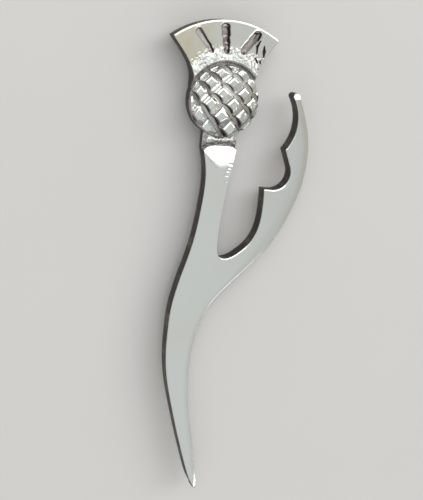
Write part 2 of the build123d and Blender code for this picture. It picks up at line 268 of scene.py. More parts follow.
@labelled
class KiltPinHead(bpy.types.PropertyGroup):
    """Sizes of the thistle head: neck, bulb with studs, and flower."""

    lean: angle(4.2, "Lean of the head to the leaf's side")
    neck_width: length(7.2, "Width between its sides")
    neck_length: length(2.24, "Stem's end to the bulb's lowest point")
    neck_drop: length(0.6, "Drop below the face")
    neck_shoulder: length(1.1, "Round along its sides")
    ring_width: length(0.5, "Width of the ring under the bulb")
    ring_height: length(0.12, "How far the ring stands out")
    ring_drop: length(0.3, "Clear space between bulb and ring")
    roll_length: length(4.7, "Length of the stem's rolled end")
    roll_drop: length(0.95, "How far it rolls down")
    roll_rise: length(0.4, "How far its arched line reaches into the neck")
    roll_arch: length(0.9, "Height of that arch")
    roll_side: share(0.9, "How much shorter it is at the left")
    bulb_radius: length(7.3, "Radius seen from the front")
    bulb_rim_drop: length(0.3, "Drop of its rim below the face")
    bulb_dome: length(3.2, "Rise of its middle over the rim")
    stud_step_across: length(2.38, "Half the distance between studs of a row")
    stud_step_along: length(2.2, "Distance between rows of studs")
    stud_top: length(1.5, "Side of a stud's flat top")
    stud_height: length(0.55, "Height over the dome")
    stud_shift: length(0.95, "Shift of their field to the right")
    stud_lift: length(-0.27, "Shift of their field up the head")
    stud_spread: length(0.16, "Growth of the rows' distance below the middle")
    stud_follow: share(0.15, "How much a top leans with the dome")
    stud_bevel: length(0.37, "Narrow bevel round a top")
    bevel_drop: length(0.155, "Fall over that bevel")
    stud_steep: length(0.22, "Width of a stud's steep side")
    saddle_drop: length(0.24, "Fall from one stud to the next of its row")
    crease_depth: length(0.14, "Depth of the line at the studs' feet")
    flower_rise: length(8.94, "Bulb to the flower's arc")
    flower_radius: length(19.0, "Radius of that arc")
    flower_half_angle: angle(36.0, "Half the angle of that arc")
    flower_shift: length(-0.35, "Shift to the right of the axis")
    flank_angle: angle(35.6, "Slope of its sides at the corners")
    waist_inset: length(0.7, "How far it is inside the bulb's radius")
    waist_rise: length(4.26, "Height over the bulb's middle")
    groove_length: length(5.0, "Length of the pressed grooves")
    groove_width: length(2.0, "Width of the pressed grooves")
    groove_depth: length(0.5, "Depth of the pressed grooves")
    groove_lip: length(0.05, "Height of the lip round them")
    valley_width: length(0.75, "Width of the valley round the bulb")
    valley_depth: length(0.6, "Depth of the valley")
    brow_width: length(2.2, "Width of the swelling over the bulb")
    brow_height: length(0.62, "Height over the face")
    stipple_height: length(0.1, "Height of the grit on brow and neck")
    stipple_size: length(0.37, "Size of that grit")
    mark_depth: length(0.058, "Depth of the file marks beside the roll")


@labelled
class KiltPinFinish(bpy.types.PropertyGroup):
    """Colours and gloss of the metal."""

    bright: colour((0.83, 0.885, 0.868), "Polished faces")
    warm: colour((0.79, 0.75, 0.57), "Thin warm film that varies over the faces")
    # The two dark colours below, in hollows, grooves and creases, are partly tarnish and partly
    # painted shade
    film: colour((0.43, 0.402, 0.39), "Brownish film, half as thick as in creases")
    recess: colour((0.05, 0.044, 0.041), "Dark film in grooves and creases")
    # The wall colours are painted shade: dark, with lighter streaks, in place of the dark
    # surroundings that the walls reflect
    wall: colour((0.06, 0.05, 0.043), "Dark film of the side walls, left as cast")
    bare: colour((0.22, 0.185, 0.16), "Side walls where that film is thin")
    steel: colour((0.60, 0.60, 0.61), "Drawn steel of the pin fitting")
    polish: share(0.16, "Roughness of the polished faces")
    cast: share(0.5, "Roughness of walls and recesses")


@labelled
class KiltPinStudio(bpy.types.PropertyGroup):
    """Camera, floor, and brightness of the lights."""

    turn: angle(17.5, "Lean of the view to the left of upright")
    tilt: angle(14.0, "Lean of the view towards the head")
    distance: length(245.0, "Camera to its target")
    target: position((-5.669, 2.956, 7.5), "Point that it looks at")
    focal: share(85.0, "Focal length in millimetres for a 36 mm sensor")
    floor: colour((0.80, 0.80, 0.79), "Plain pale floor")
    overhead: share(0.36, "Wide panel that the faces reflect")
    key: share(2.0, "Long panel beyond the head")
    side: share(3.0, "Small panel at the lower right")
    warm_wall: share(0.2, "Warm panel at the right")
    room: share(0.28, "Brightness of the room round them")


# Frames: the neck's, in which the outline is drawn, the head's and the part's


def pin_sizes(scene):
    """Sizes of the pin by name, lengths in millimetres, and those that follow from them."""
    values = {}
    for group in (scene.kiltpin_outline, scene.kiltpin_head):
        for key in group.__annotations__:
            unit = MM if group.bl_rna.properties[key].unit == "LENGTH" else 1
            values[key] = getattr(group, key) / unit
    pin = SimpleNamespace(**values)
    pin.face = pin.stand_off + pin.plate_thickness
    pin.bulb = pin.neck_length + pin.bulb_radius
    pin.arc = pin.bulb + pin.bulb_radius + pin.flower_rise - pin.flower_radius
    highest = -pin.flower_shift * sin(pin.lean) + pin.arc * cos(pin.lean) + pin.flower_radius
    lowest = -pin.fork_depth - pin.blade_length
    leftmost = stem_edges(pin)[0][:, 0].min()
    widest = max(place for _, place in LEAF_OUTER) * pin.leaf_spread
    pin.neck = np.array([-(leftmost + widest) / 2, -(highest + lowest) / 2])
    pin.axes = np.array([[cos(pin.lean), -sin(pin.lean)], [sin(pin.lean), cos(pin.lean)]])
    return pin


def turned(points, pin, back=False):
    """Points (across, along) of the head turned to the neck's frame, or the other way."""
    return points @ (pin.axes.T if back else pin.axes)


# Curves in the plane


def spline(points, start=None, end=None):
    """Cubic curve through the points, by chord length, with no jump in its bend.

    The slopes solve the linear system that says so. A given end direction is met at unit speed,
    and a free end has no bend.
    """
    points = np.array(points)
    chords = np.diff(points, axis=0)
    steps = np.linalg.norm(chords, axis=1)
    count = len(points)
    system, wanted = np.eye(count), np.zeros((count, 2))
    inner = np.arange(1, count - 1)
    system[inner, inner - 1] = 1 / steps[:-1]
    system[inner, inner] = 2 / steps[:-1] + 2 / steps[1:]
    system[inner, inner + 1] = 1 / steps[1:]
    pull = chords / steps[:, None] ** 2
    wanted[inner] = 3 * (pull[:-1] + pull[1:])
    for row, beside, piece, way in ((0, 1, 0, start), (-1, -2, -1, end)):
        if way is None:
            system[row, [row, beside]] = 2, 1
            wanted[row] = 3 * chords[piece] / steps[piece]
        else:
            wanted[row] = way / np.linalg.norm(way)
    slopes = np.linalg.solve(system, wanted)
    knots = np.concatenate([[0], np.cumsum(steps)])
    place = np.linspace(0, knots[-1], ceil(knots[-1] / SAMPLE_STEP) + 1)
    piece = np.clip(np.searchsorted(knots, place, side="right") - 1, 0, count - 2)
    step = steps[piece][:, None]
    t = (place - knots[piece])[:, None] / step
    return (
        (2 * t**3 - 3 * t**2 + 1) * points[piece]
        + (t**3 - 2 * t**2 + t) * step * slopes[piece]
        + (3 * t**2 - 2 * t**3) * points[piece + 1]
        + (t**3 - t**2) * step * slopes[piece + 1]
    )


def turn_arc(centre, radius, first, sweep):
    """Arc round a centre from a first angle through a sweep, in radians."""
    count = max(ceil(abs(sweep) * radius / SAMPLE_STEP), 4)
    t = first + sweep * np.linspace(0, 1, count + 1)
    return np.column_stack([centre[0] + radius * np.cos(t), centre[1] + radius * np.sin(t)])


def wrapped(turn):
    """The same angle between minus pi and pi."""
    return (turn + pi) % (2 * pi) - pi


def side_arc(start, end, radius, side):
    """Shorter arc from start to end, its centre left of the way (side 1) or right (side -1)."""
    way = end - start
    half = np.linalg.norm(way) / 2
    left = np.array([-way[1], way[0]]) / (2 * half)
    centre = (start + end) / 2 + side * left * np.sqrt(radius**2 - half**2)
    first = np.arctan2(*(start - centre)[::-1])
    return turn_arc(centre, radius, first, wrapped(np.arctan2(*(end - centre)[::-1]) - first))


def through_arc(first, middle, last):
    """Arc through three points: its centre is as far from each of them."""
    points = np.array([first, middle, last])
    system = 2 * (points[1:] - points[0])
    centre = np.linalg.solve(system, (points[1:] ** 2).sum(1) - (points[0] ** 2).sum())
    turns = np.arctan2(points[:, 1] - centre[1], points[:, 0] - centre[0])
    sweep = wrapped(turns[1] - turns[0]) + wrapped(turns[2] - turns[1])
    return turn_arc(centre, np.linalg.norm(points[0] - centre), turns[0], sweep)


def rounded_corner(before, corner, after, radius):
    """Line, arc and line from before to after, with an arc of the radius at the corner."""
    back = (before - corner) / np.linalg.norm(before - corner)
    on = (after - corner) / np.linalg.norm(after - corner)
    half = np.arccos(back @ on) / 2
    cut = radius / tan(half)
    middle = back + on
    centre = corner + middle / np.linalg.norm(middle) * radius / sin(half)
    start, end = (np.arctan2(*(corner + way * cut - centre)[::-1]) for way in (back, on))
    sweep = wrapped(end - start)
    return np.vstack([before, turn_arc(centre, radius, start, sweep), after])


def evenly(points, step):
    """Points at equal distances along a line, its two ends among them."""
    along = np.concatenate([[0], np.cumsum(np.linalg.norm(np.diff(points, axis=0), axis=1))])
    place = np.linspace(0, along[-1], max(ceil(along[-1] / step), 1) + 1)
    return np.column_stack([np.interp(place, along, points[:, k]) for k in (0, 1)])


# Outline


def stem_edges(pin):
    """Left edge of both, right edge of stem and of blade: the middle line, half a width aside."""
    stem, blade = np.array(STEM_SECTIONS), np.array(BLADE_SECTIONS)
    down = [stem[:, 0] * pin.fork_depth, pin.fork_depth + blade[:, 0] * pin.blade_length]
    down = -np.concatenate(down)
    _, sway, width = np.vstack([stem, blade]).T
    middle, half = -sway * pin.stem_sway, width * pin.stem_width / 2
    right = np.column_stack([middle + half, down])
    return np.column_stack([middle - half, down]), right[: len(stem)], right[len(stem) :]


def tips(pin):
    """The leaf's tip and the blade's point, from the neck."""
    leaf = np.array([LEAF_TIP_SPREAD * pin.leaf_spread, pin.leaf_rise - pin.fork_depth])
    blade = np.array([-POINT_SWAY * pin.stem_sway, -pin.fork_depth - pin.blade_length])
    return leaf, blade


def plate_lines(pin):
    """Lines of stem, blade and leaf, from the stem's left corner round to its right."""
    left, stem_right, blade_right = stem_edges(pin)
    tip, point = tips(pin)
    scale = np.array([pin.leaf_spread, pin.leaf_rise])
    fork = np.array([0, -pin.fork_depth])
    outer = np.array(LEAF_OUTER)[::-1, ::-1] * scale + fork
    rise, beside, width = np.array(LEAF_INNER).T
    inner = np.column_stack([beside * scale[0] - width * pin.leaf_width, rise * scale[1]]) + fork
    drop = pin.leaf_tip_width * LEAF_TIP_ROUND
    tip_out = tip + (pin.leaf_tip_width / 2, -drop)
    tip_in = tip - (pin.leaf_tip_width / 2, drop)
    lower = inner[-1]
    notch = lower + (pin.notch_reach, -pin.notch_fall)
    tooth = lower + (pin.tooth_reach, pin.tooth_height)
    floor, wall = lower - notch, tooth - notch
    floor_long, wall_long = np.linalg.norm(floor), np.linalg.norm(wall)
    opening = np.arccos(floor @ wall / floor_long / wall_long)
    widest = NOTCH_STRAIGHT * min(floor_long, wall_long) * tan(opening / 2)
    fork_start = np.array([stem_right[-1, 0], pin.fork_radius]) + fork
    fork_floor = fork_start + (pin.fork_radius, -pin.fork_radius)
    return [
        spline(left),
        through_arc(left[-1], point, blade_right[-1]),
        spline(np.vstack([tip_out, outer, blade_right]))[::-1],
        through_arc(tip_out, tip, tip_in),
        side_arc(tip_in, tooth, pin.scallop_radius, -1),
        rounded_corner(tooth, notch, lower, min(pin.notch_radius, widest)),
        spline(np.vstack([fork_floor, inner]), (1, 0), (0, 1))[::-1],
        side_arc(fork_floor, fork_start, pin.fork_radius, -1),
        spline(np.vstack([stem_right, fork_start]), (-STEM_TOP_SLOPE, -1), (0, -1))[::-1],
    ]


def head_lines(pin):
    """Lines of neck, bulb and flower, drawn along the head's axis and turned with it."""
    bulb = np.array([0, pin.bulb])
    half = pin.flower_half_angle
    corner = pin.flower_radius * np.array([sin(half), cos(half)]) + (0, pin.arc)
    waist = np.array([pin.bulb_radius - pin.waist_inset, pin.bulb + pin.waist_rise])
    shift = np.array([pin.flower_shift, 0])
    flank = spline([corner, waist], (-sin(pin.flank_angle), -cos(pin.flank_angle)), (0, -1))
    right_flank, left_flank = flank[::-1] + shift, flank * (-1, 1) + shift
    neck_turn = np.arccos(pin.neck_width / 2 / pin.bulb_radius)
    right_turn = np.arccos(right_flank[0, 0] / pin.bulb_radius)
    left_turn = np.arccos(-left_flank[-1, 0] / pin.bulb_radius)
    right_bulb = turn_arc(bulb, pin.bulb_radius, -neck_turn, neck_turn + right_turn)
    left_bulb = turn_arc(bulb, pin.bulb_radius, pi - left_turn, left_turn + neck_turn)
    corners = np.array([[1, 0], [-1, 0]]) * pin.stem_width / 2
    start, finish = (turned(place[None], pin, back=True) for place in corners)
    lines = [
        np.vstack([start, right_bulb[:1]]),
        right_bulb,
        np.vstack([right_bulb[-1], right_flank[0]]),
        right_flank,
        turn_arc(shift + (0, pin.arc), pin.flower_radius, pi / 2 - half, 2 * half),
        left_flank,
        np.vstack([left_flank[-1], left_bulb[0]]),
        left_bulb,
        np.vstack([left_bulb[-1:], finish]),
    ]
    return [turned(line, pin) for line in lines]


def whole_outline(pin):
    """Closed outline in the part's frame, anticlockwise, with its points at even steps."""
    *plate, stem_right = plate_lines(pin)
    lines = [evenly(line, OUTLINE_STEP) for line in plate]
    lines += [evenly(line, FINE_OUTLINE_STEP) for line in (stem_right, *head_lines(pin))]
    points = np.vstack([line[:-1] for line in lines])
    keep = np.linalg.norm(points - np.roll(points, 1, axis=0), axis=1) > SAMPLE_STEP / 4
    return points[keep] + pin.neck


# Points inside the outline


def in_blocks(points):
    """The points in blocks that are small enough to compare with a whole line."""
    return np.array_split(points, max(ceil(len(points) / BLOCK), 1))


def squared(block, starts, ways):
    """Squared distance from each point to each straight piece, square to it or from its ends."""
    x = block[:, :1] - starts[:, 0]
    y = block[:, 1:] - starts[:, 1]
    t = np.clip((x * ways[:, 0] + y * ways[:, 1]) / (ways**2).sum(1), 0, 1)
    return (x - t * ways[:, 0]) ** 2 + (y - t * ways[:, 1]) ** 2


def line_distance(points, line):
    """Distance from each point to an open line."""
    ways = np.diff(line, axis=0)
    nearest = [squared(block, line[:-1], ways).min(1) for block in in_blocks(points)]
    return np.sqrt(np.concatenate(nearest))


def rim_facts(points, ring):
    """Distance from each point to the closed ring, below zero outside it, and the nearest piece.

    A point is inside where a level line from it crosses the ring an odd number of times.
    """
    ends = np.roll(ring, -1, axis=0)
    ways = ends - ring
    distances, pieces = [], []
    for block in in_blocks(points):
        far = squared(block, ring, ways)
        x = block[:, :1] - ring[:, 0]
        y = block[:, 1:] - ring[:, 1]
        level = (ring[:, 1] > block[:, 1:]) != (ends[:, 1] > block[:, 1:])
        crossing = level & ((x * ways[:, 1] < y * ways[:, 0]) == (ways[:, 1] > 0))
        inside = crossing.sum(1) % 2 == 1
        distances.append(np.sqrt(far.min(1)) * np.where(inside, 1, -1))
        pieces.append(far.argmin(1))
    return np.concatenate(distances), np.concatenate(pieces)


def net(low, high, pitch):
    """Points of a net of even triangles over a rectangle."""
    x = np.arange(low[0], high[0], pitch)
    y = np.arange(low[1], high[1], pitch * sin(pi / 3))
    grid_x, grid_y = np.meshgrid(x, y)
    grid_x = grid_x + (np.arange(len(y)) % 2)[:, None] * pitch / 2
    return np.column_stack([grid_x.ravel(), grid_y.ravel()])


def inward(ring, offset):
    """The ring moved inwards by an offset, square to the line between each point's neighbours."""
    way = np.roll(ring, -1, axis=0) - np.roll(ring, 1, axis=0)
    way /= np.linalg.norm(way, axis=1)[:, None]
    return ring + offset * np.column_stack([-way[:, 1], way[:, 0]])


def triangles(points, ring_count):
    """Triangles between the points, inside the ring that the first of them form.

    Only a triangle with all its corners on the ring can be outside it.
    """
    ring = list(range(ring_count))
    corners, _, faces, *_ = delaunay_2d_cdt(points.tolist(), [], [ring], 1, 1e-6, False)
    if len(corners) != len(points):
        raise RuntimeError(f"{len(points)} points gave {len(corners)} corners")
    faces = np.array(faces)
    middles = points[faces].mean(1)
    on_ring = (faces < ring_count).all(1)
    keep = np.ones(len(faces), bool)
    keep[on_ring] = rim_facts(middles[on_ring], points[:ring_count])[0] > 0
    return faces[keep]


def in_fine(points, pin):
    """Whether points lie in the head, just below it or near a tip, where the net is fine."""
    near_tip = np.zeros(len(points), bool)
    for tip in tips(pin):
        near_tip |= np.linalg.norm(points - (pin.neck + tip), axis=1) < TIP_NEAR
    leaf_top = pin.neck[1] + pin.leaf_rise - pin.fork_depth
    leaf = (points[:, 0] > pin.neck[0] + LEAF_FROM) & (points[:, 1] < leaf_top)
    in_head = turned(points - pin.neck, pin, back=True)[:, 1] > -FINE_BELOW_NECK
    return near_tip | (in_head & ~leaf)


# Relief


def smooth(t):
    """Step from 0 to 1 with level ends."""
    t = np.clip(t, 0, 1)
    return t * t * (3 - 2 * t)


def between(value, low, high):
    """Smooth step from 0 at low to 1 at high."""
    return smooth((value - low) / (high - low))


def ramp(t):
    """Straight step from 0 to 1 with short rounds at both ends."""
    t = np.clip(t, 0, 1)
    return 0.65 * t + 0.35 * smooth(t)


def ridge(value, width=1):
    """Round ridge: e to the power of minus the square of value over width."""
    return np.exp(-((value / width) ** 2))


def grain(x, y, size, field):
    """Smooth random field from -1 to 1: random values on a square net, joined by smooth steps."""
    values = np.random.default_rng(SEEDS[field]).uniform(-1, 1, (GRAIN_NET, GRAIN_NET))
    u, v = x / size, y / size
    i, j = np.floor(u).astype(int), np.floor(v).astype(int)
    s, t = smooth(u - i), smooth(v - j)
    i, j = i % GRAIN_NET, j % GRAIN_NET
    next_i, next_j = (i + 1) % GRAIN_NET, (j + 1) % GRAIN_NET
    low = values[i, j] * (1 - s) + values[next_i, j] * s
    high = values[i, next_j] * (1 - s) + values[next_i, next_j] * s
    return low * (1 - t) + high * t


def stipple(x, y, pin):
    """Grit from -1 to 1: two sizes of smooth field, the coarse one with flattened tops."""
    size = pin.stipple_size
    coarse = grain(x, y, size, "coarse grit")
    fine = grain(x + coarse * size / 2, y, size * FINE_GRIT, "fine grit")
    return COARSE_SHARE * np.tanh(GRIT_FLAT * coarse) + FINE_SHARE * fine


def face_edge(points, rim, piece, ring, pin):
    """Fall of the face at its edges.

    All have a quarter round. Those that face up the pin or the worn side have a bevel too. At the
    leaf's outer edge the face falls as the square of the way into a soft crown, which narrows
    down the blade. The tips of leaf and blade are worn flat.
    """
    short = np.clip(pin.edge_round - rim, 0, pin.edge_round)
    fall = pin.edge_round - np.sqrt(pin.edge_round**2 - short**2)

    way = np.roll(ring, -1, axis=0) - ring
    way /= np.linalg.norm(way, axis=1)[:, None]
    outward = np.column_stack([way[:, 1], -way[:, 0]])
    upper = between(outward[:, 1], *UPPER_TURN) * UPPER_SLOPE
    side = between(outward @ WORN_SIDE, *WORN_TURN) * (ring[:, 1] < pin.neck[1])
    worn = np.maximum(upper, side * WORN_SLOPE)
    fall = fall + worn[piece] * np.clip(pin.edge_bevel - rim, 0, None)
    for tip, (way, slope, reach) in zip(tips(pin), TIP_FLATS):
        off = points - (pin.neck + tip)
        near = np.hypot(off[:, 0], off[:, 1]) < TIP_NEAR
        fall = fall + slope * near * np.clip(off @ way + reach, 0, None)

    outer = evenly(plate_lines(pin)[2], OUTER_STEP) + pin.neck
    below_fork = pin.neck[1] - pin.fork_depth - points[:, 1]
    narrow = 1 - CROWN_NARROWS * between(below_fork, CROWN_FROM, CROWN_TO)
    crown = np.clip(1 - line_distance(points, outer) / (pin.crown_width * narrow), 0, 1)
    return fall + pin.crown_drop * narrow * crown**2


def stud_rows(p, q, pin, reach):
    """Places in the field of studs, in half steps across and along the head.

    Both follow a ball of that radius. Below the middle the rows lie flat instead, each a little
    farther from the last.
    """
    across = np.clip((p - pin.stud_shift) / reach, -FIELD_END, FIELD_END)
    up = q - pin.stud_lift
    step, spread = pin.stud_step_along, pin.stud_spread
    above = np.arcsin(np.clip(up / reach, 0, FIELD_END)) * reach / step
    below = (np.sqrt(step**2 + 4 * spread * np.clip(-up, 0, None)) - step) / (2 * spread)
    return np.arcsin(across) * reach / pin.stud_step_across, np.where(up > 0, above, -below)


def stud_middle(i, j, pin, reach):
    """The reverse: the point at places i and j of the field."""
    p = pin.stud_shift + reach * np.sin(i * pin.stud_step_across / reach)
    above = reach * np.sin(np.clip(j * pin.stud_step_along / reach, 0, pi / 2))
    below = np.abs(j) * pin.stud_step_along + pin.stud_spread * j**2
    return p, pin.stud_lift + np.where(j > 0, above, -below)


def stud_field(p, q, pin):
    """Level of the bulb, with its dark film and painted shade: a dome with a field of flat studs.

    A stud's top is a plane through the dome's level at its middle, leaning less than the dome,
    with a bevel on its two upper edges. Above a row the ground falls to a band that ends in a
    crease, at the foot of the next row's steep side. Round each stud that foot follows an arc.
    The band is level across, or leans towards its own row as much as it slopes up the pin. Along
    a row the ground rises steeply to a stud and falls gently to the next, or stays level where
    the dome rises.
    """
    radius = (pin.bulb_radius**2 + pin.bulb_dome**2) / (2 * pin.bulb_dome)
    crown = pin.face - pin.bulb_rim_drop + pin.bulb_dome - radius
    reach = radius + pin.stud_height
    steep = pin.stud_steep

    def dome(x, y):
        return np.sqrt(radius**2 - np.minimum(x**2 + y**2, pin.bulb_radius**2))

    # Row and column of the stud that a point belongs to, and how far it is above and beside it
    i, j = stud_rows(p, q, pin, reach)
    u, v = (i + j) / 2, (i - j) / 2
    pitch = np.hypot(pin.stud_step_across, pin.stud_step_along)
    row, column = np.round(u), np.round(v)
    a, b = (u - row) * pitch, (v - column) * pitch
    flat = (pin.stud_top - pin.stud_bevel) / 2
    foot = flat + pin.stud_bevel
    out = pitch - foot - steep
    pinch = SCALLOP * (out - np.sqrt(out**2 - b**2))
    past = a < -foot - steep - pinch
    row = row - past
    a = np.where(past, a + pitch, a)
    band = row + np.where(a > 0, 0.5, -0.5)
    past = b < -foot - steep
    column = column - past
    b = np.where(past, b + pitch, b)
    luck = np.random.default_rng(SEEDS["studs"]).uniform(-1, 1, (3, STUD_NET, STUD_NET))
    luck = luck[:, row.astype(int) % STUD_NET, column.astype(int) % STUD_NET]

    middle_p, middle_q = stud_middle(row + column, row - column, pin, reach)
    middle = dome(middle_p, middle_q)
    lean = pin.stud_follow * (middle_p * (p - middle_p) + middle_q * (q - middle_q)) / middle
    tilt = TOP_TILT * (luck[0] * np.clip(a, -foot, foot) + luck[1] * np.clip(b, -foot, foot))
    wrinkle = WRINKLE * np.clip(luck[2], 0, 1) * (grain(p, q, WRINKLE_SIZE, "wrinkles") - 1)
    bevel = np.clip((np.maximum(a, -b) - flat) / pin.stud_bevel, 0, 1)
    top = middle + pin.stud_height - lean + tilt + wrinkle - pin.bevel_drop * bevel

    space = out - foot - pinch
    above, under = ramp((a - foot) / (GENTLE_SHARE * space)), ramp((-a - foot - pinch) / steep)
    slope_a = np.where(a > 0, above, under)
    slope_b = np.where(b > 0, ramp((b - flat) / (out - flat)), ramp((-b - foot) / steep))
    last = column - (b < 0)
    saddle = np.minimum(dome(p, q), dome(*stud_middle(row + last, row - last, pin, reach)))
    saddle = saddle + pin.stud_height - pin.saddle_drop
    saddle = saddle + SADDLE_GRAIN * grain(p, q, SADDLE_SIZE, "saddles")
    level = top + (saddle - top) * slope_b
    band_p, band_q = stud_middle(band + v, band - v, pin, reach)
    ground = dome(band_p, band_q) - pin.crease_depth
    rise = np.clip((band_q - band_p) / (sqrt(2) * dome(band_p, band_q)), 0, MOST_RISE)
    ground = ground + rise * (u - band) * pitch
    level = level + (ground - level) * slope_a

    # Painted shade, with some film: a line at the steep foot like a shadow of the stud, which is
    # thicker to the right and faint past the stud, the slopes themselves, darkest on the steep
    # ones, and a thin line beside each stud
    below = np.minimum(np.abs(a - foot - space), np.abs(a + foot + steep + pinch))
    beside = np.minimum(np.abs(b + foot + steep), np.abs(b - out))
    thick = FOOT_LINE * (0.7 + 0.8 * between(b, -foot, 0.6 * foot))
    line = ridge(below, thick) * (1 - 0.6 * between(b, foot + 0.1, foot + 0.5))
    film = np.where(a > 0, GENTLE_FILM_AND_SHADE * slope_a, STEEP_SHADE * slope_a)
    film = np.maximum(np.maximum(film, line), SIDE_FILM_AND_SHADE * ridge(beside, SIDE_LINE))
    return crown + level, np.clip(film, 0, 1)


def groove_field(p, q, pin):
    """Depth and darkening of the flower's grooves: film and painted shade, and painted shade on
    the right wall.

    Each is a capsule between two half widths. Its floor falls evenly from the left to a steep
    wall at the right. A low lip stands over its upper end.
    """
    depth, film, lip = np.zeros((3, len(p)))
    for turn, reach, lean, long, top, foot, deep, dark, shaded_right_top, shaded_right_foot in GROOVES:
        spin = turn * pin.flower_half_angle
        x = p - pin.flower_shift - reach * pin.flower_radius * sin(spin)
        y = q - pin.arc - reach * pin.flower_radius * cos(spin)
        lean = radians(lean)
        down = -(x * sin(lean) + y * cos(lean))
        side = x * cos(lean) - y * sin(lean)
        end = long * pin.groove_length
        on = np.clip(down, 0, end)
        wavy = 1 + SIDE_WAVE * deep * grain(down, reach, SIDE_WAVE_SIZE, "groove sides")
        half = (top + (foot - top) * on / end) * pin.groove_width / 2 * wavy
        off = np.hypot(down - on, side) / half
        across = side / half
        wall_at = WALL_AT + WALL_WAVE * deep * grain(down, turn, WALL_WAVE_SIZE, "groove walls")
        floor = np.clip((across + 1) / (1 + wall_at), 0, 1) * (1 - between(across, wall_at, 1.0))
        closed = 1 - between(off, *FLOOR_END)
        depth = np.maximum(depth, deep * pin.groove_depth * floor * closed)
        inside = 1 - between(off, *DARKENING_END)
        # Painted shade on the wall at the right, which faces left: its darkness at both ends
        edge = shaded_right_top + (shaded_right_foot - shaded_right_top) * on / end
        streaks = grain(side, down * STREAK_DRAWN, STREAK_SIZE, "groove streaks")
        streaks = STREAK * np.clip(streaks, -0.5, 1)
        right = between(across, *(wall_at + place for place in WALL_DARKENS))
        lined = dark + streaks + (edge - dark - streaks) * right
        rim = ridge((off - RIM_PLACE) * half, np.minimum(RIM_WIDTH, RIM_SHARE * half))
        film = np.maximum(film, np.maximum(lined * inside, RIM_FILM_AND_SHADE * rim))
        up = -(down - on) * cos(lean) - side * sin(lean)
        right = -(down - on) * sin(lean) + side * cos(lean)
        outward = (up - 0.5 * right) / np.maximum(off * half, 1e-6)
        band = ridge((off - 1) * half / LIP_WIDTH - LIP_PLACE)
        lip = np.maximum(lip, band * between(outward, *LIP_FADE) * (1 - dark))
    return depth - pin.groove_lip * lip * (depth == 0), np.clip(film, 0, 1)


def stem_face(p, q, rim, pin):
    """Level of the stem, and how far below its arched upper line a point is.

    Its end rolls down over a length that shortens to both sides, with file marks beside it.
    """
    across = p / (pin.stem_width / 2)
    below = pin.roll_rise - pin.roll_arch * np.clip(np.abs(across), 0, ARCH_END) ** ARCH_POWER - q
    left = pin.roll_side * np.abs(across) ** LEFT_POWER
    shorter = np.clip(np.where(across < 0, left, RIGHT_SIDE * across**2), 0, pin.roll_side)
    long = pin.roll_length * (1 - shorter)
    rolled = long / pin.roll_length * np.clip(1 - below / long, 0, 1) ** ROLL_POWER
    on_stem = (q < pin.neck_length) & (np.abs(p) < pin.stem_width)
    level = pin.face - np.where(on_stem, pin.roll_drop * rolled, 0)
    for down, reach, deep in FILE_MARKS:
        fade = 1 - between(rim, *(end * reach for end in MARK_FADE))
        mark = ridge(below - down, MARK_WIDTH) * fade
        level = level - np.where(on_stem & (p > 0), deep * pin.mark_depth * mark, 0)
    return level, below


def neck_face(p, q, below, grit, pin):
    """Level, film with painted shade, and grit of the neck: round shoulders, a ring and a groove
    at the stem's end.
    """
    shoulder = pin.neck_shoulder
    short = np.clip(np.abs(p) - pin.neck_width / 2 + shoulder, 0, shoulder)
    level = pin.face - pin.neck_drop - shoulder + np.sqrt(shoulder**2 - short**2)
    ring_middle = pin.neck_length - pin.ring_drop - pin.ring_width / 2
    ring = ridge((q - ring_middle) / pin.ring_width * RING_SHARP)
    gap = ridge(below + GAP_PLACE, GAP_WIDTH)
    plain = 1 - RING_CLEAN * ring
    level = level + pin.ring_height * ring - GAP_DEPTH * gap
    level = level + NECK_GRIT * pin.stipple_height * grit * plain
    # The pits of the grit are darker: film and painted shade
    pits = 0.05 + 0.45 * between(-grit, -0.4, 0.6)
    return level, np.maximum(GAP_FILM_AND_SHADE * gap, pits * plain), 1 - 0.5 * ring


def flower_face(p, q, away, grit, pin):
    """Level, film with painted shade, grit and warm tint of the flower.

    A flat face with grooves, and a gritty brow beyond the valley round the bulb.
    """
    foot = pin.valley_width
    crest = foot + CREST_SHARE * pin.brow_width
    out = foot + pin.brow_width
    swell = between(away, SWELL_FROM * foot, crest) * (1 - ramp((away - crest) / (out - crest)))
    sunk = 1 - between(away, *(place * foot for place in VALLEY_WALL))
    gritty = between(away, GRIT_FROM * foot, foot) * (1 - between(away, out - 0.3, out + 1.6))
    depth, lined = groove_field(p, q, pin)
    kept = between(away, out - 1.0, out - 0.2)
    level = pin.face + pin.brow_height * swell - pin.valley_depth * sunk
    level = level + pin.stipple_height * grit * gritty - depth * kept

    spin = np.arctan2(p, q - pin.bulb) * (pin.bulb_radius + out)
    streaks = between(grain(spin, away * 0.12, 0.3, "brow streaks"), 0.2, 0.8)
    streaks = streaks * (1 - between(away, out + 0.4, out + 2.6))
    # The valley and the pits of the grit are darker: film and painted shade
    valley = (0.3 + 0.15 * between(grit, -0.5, 0.5)) * sunk
    film = np.maximum(valley, np.maximum(lined * kept, BROW_STREAK * streaks * (1 - sunk)))
    film = film + BROW_PITS * gritty * between(-grit, 0.1, 0.8) + BASE_FILM
    # Warmer towards the left of the flower
    warm_tint = np.where(away > out, 0.25 + 0.75 * between(-p, 0.5, 7.0), 0)
    return level, film, gritty, warm_tint


